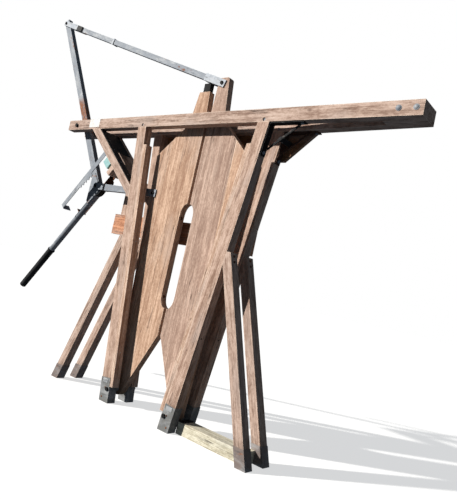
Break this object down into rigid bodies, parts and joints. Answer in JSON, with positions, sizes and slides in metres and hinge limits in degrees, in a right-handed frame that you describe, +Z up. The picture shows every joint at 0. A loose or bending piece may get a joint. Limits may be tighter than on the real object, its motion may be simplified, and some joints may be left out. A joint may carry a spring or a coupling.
{
  "type": "cattle head bail",
  "caption": "Free-standing timber cattle head gate: two doors on foot bolts close on a neck slot, opened together by a steel bell crank, links and a long handle beside a toothed rack.",
  "frame": {"origin": "on the ground, under the middle of the neck slot, midway between the front and rear frames", "axes": "+Z up; +X along the beams, to the right seen from the front; +Y from the front face to the back"},
  "size_m": [4.5114, 0.3374, 3.8021],
  "materials": {
    "timber": "rough sawn, weathered",
    "liner_timber": "planed, weathered",
    "door_timber": "planed, weathered",
    "bleached_timber": "bleached by the sun",
    "painted_timber": "old pale paint",
    "galvanised_steel": "galvanised, dull, spots of rust",
    "black_steel": "black paint, worn",
    "rusty_steel": "rusty",
    "rubber": "matt black",
    "blank_plate": "blank white plate"
  },
  "bodies": {
    "frame": {"front_beam": "timber", "rear_beam": "timber", "beam_spacer": "timber", "beam_bolts": "galvanised_steel", "name_plate": "blank_plate", "front_left_leg": "timber", "front_right_leg": "timber", "rear_left_leg": "timber", "rear_right_leg": "timber", "front_left_liner": "liner_timber", "front_right_liner": "liner_timber", "rear_left_liner": "liner_timber", "rear_right_liner": "liner_timber", "front_left_strut": "timber", "front_right_strut": "timber", "rear_left_strut": "timber", "rear_right_strut": "timber", "screws_and_nails": "rusty_steel", "leg_shoes": "galvanised_steel", "strut_shoes": "galvanised_steel", "sill": "bleached_timber", "sill_cleat": "black_steel", "rear_rail": "timber", "rear_post": "timber", "head_board": "timber", "front_brace": "timber", "rear_brace": "timber", "rubber_sheet": "rubber", "rubber_nails": "galvanised_steel", "packing_block": "painted_timber", "front_corner_bracket": "black_steel", "rear_corner_bracket": "black_steel", "door_stop_bar": "black_steel", "bracket_bolts": "galvanised_steel", "rack_block": "timber", "front_rack": "galvanised_steel", "rear_rack": "rusty_steel", "rack_bolts": "black_steel", "foot_bolts": "black_steel", "foot_spacers": "galvanised_steel", "crank_bolt": "black_steel", "crank_spacers": "galvanised_steel"},
    "crank": {"crank_arm": "galvanised_steel", "crank_bushes": "galvanised_steel", "cheek_plates": "galvanised_steel", "handle_pipe": "galvanised_steel", "rubber_grip": "rubber", "link_pins": "black_steel"},
    "top_link": {"top_link": "galvanised_steel", "top_link_forks": "black_steel", "tongue_pin": "black_steel"},
    "lower_link": {"lower_link": "galvanised_steel", "lower_link_forks": "galvanised_steel", "door_pin": "black_steel"},
    "left_door": {"left_door_board": "door_timber", "left_door_edge_board": "door_timber", "left_door_fittings": "rusty_steel"},
    "right_door": {"right_door_board": "door_timber", "right_door_edge_board": "door_timber", "right_door_fittings": "rusty_steel"}
  },
  "joints": [
    {"name": "crank_swing", "type": "hinge", "parent": "frame", "child": "crank", "pos_m": [-1.712, 0, 2.437], "axis": [0, 1, 0], "range_deg": [0, 25]},
    {"name": "top_link_turn", "type": "hinge", "parent": "crank", "child": "top_link", "pos_m": [-2.60009, 0, 3.74379], "axis": [0, 1, 0], "range_deg": [-19.21, 0]},
    {"name": "lower_link_turn", "type": "hinge", "parent": "crank", "child": "lower_link", "pos_m": [-1.3073, 0, 1.8415], "axis": [0, 1, 0], "range_deg": [-30.89, 0]},
    {"name": "right_door_swing", "type": "hinge", "parent": "frame", "child": "right_door", "pos_m": [0.34475, 0, 0.11], "axis": [0, 1, 0], "range_deg": [0, 11.07]},
    {"name": "left_door_swing", "type": "hinge", "parent": "frame", "child": "left_door", "pos_m": [-0.34475, 0, 0.11], "axis": [0, 1, 0], "range_deg": [-9.67, 0]}
  ],
  "couplings": [
    {"joint": "top_link_turn", "follows": "crank_swing", "ratio": -0.7677},
    {"joint": "lower_link_turn", "follows": "crank_swing", "ratio": -1.2343},
    {"joint": "right_door_swing", "follows": "crank_swing", "ratio": 0.4423},
    {"joint": "left_door_swing", "follows": "crank_swing", "ratio": -0.3864}
  ]
}
